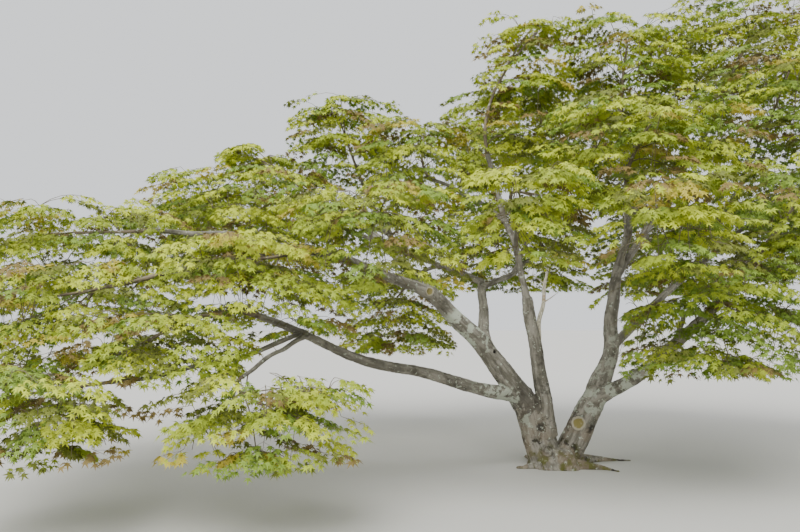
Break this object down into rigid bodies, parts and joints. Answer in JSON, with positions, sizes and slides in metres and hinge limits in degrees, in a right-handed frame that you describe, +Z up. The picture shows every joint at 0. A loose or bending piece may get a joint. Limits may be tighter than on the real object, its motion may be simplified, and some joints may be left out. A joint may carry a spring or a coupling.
{
  "type": "japanese maple tree",
  "caption": "Wide, low spreading garden tree: leaning grey stems from one root crown, long side boughs and layered masses of small lobed leaves.",
  "frame": {"origin": "middle of the flat cut under the root crown, at ground level", "axes": "+Z up, +X along the longest side of the crown towards the two right-hand stems' side, -Y towards the viewer of the picture"},
  "size_m": [10.1844, 6.2145, 5.3064],
  "materials": {
    "bark": "smooth grey bark with pale lichen",
    "dead_wood": "bare weathered wood",
    "foliage": "thin matte leaves"
  },
  "bodies": {
    "root": {"trunk": "bark", "right_stem": "bark", "middle_stem": "bark", "left_main_bough": "bark", "left_low_bough": "bark", "rear_left_bough": "bark", "right_upright": "bark", "right_low_bough": "bark", "left_long_bough": "bark", "left_rising_bough": "bark", "middle_leader": "bark", "rear_left_arm": "bark", "rear_centre_bough": "bark", "right_inner_bough": "bark", "right_top_bough": "bark", "right_outer_bough": "bark", "far_right_bough": "bark", "left_low_front_bough": "bark", "left_low_tip_bough": "bark", "left_front_bough": "bark", "left_shoulder_bough": "bark", "centre_front_bough": "bark", "centre_top_bough": "bark", "centre_skirt_bough": "bark", "spire_bough": "bark", "rear_left_low_bough": "bark", "rear_side_bough": "bark", "sparse_bough": "bark", "rear_crest_bough": "bark", "right_skirt_bough": "bark", "right_low_front_bough": "bark", "right_shoulder_bough": "bark", "rear_right_bough": "bark", "dead_snag": "dead_wood", "left_low_front": "foliage", "left_low_tip": "foliage", "left_skirt": "foliage", "left_middle": "foliage", "left_shoulder": "foliage", "left_front": "foliage", "left_top": "foliage", "left_sparse": "foliage", "left_spire": "foliage", "centre_front": "foliage", "centre_top": "foliage", "centre_high": "foliage", "centre_skirt": "foliage", "right_top": "foliage", "right_front": "foliage", "right_skirt": "foliage", "right_low": "foliage", "right_shoulder": "foliage", "right_middle": "foliage", "right_crest": "foliage", "far_right": "foliage", "rear_left_low": "foliage", "rear_left": "foliage", "rear_centre": "foliage", "rear_right": "foliage", "rear_crest": "foliage"}
  },
  "joints": []
}
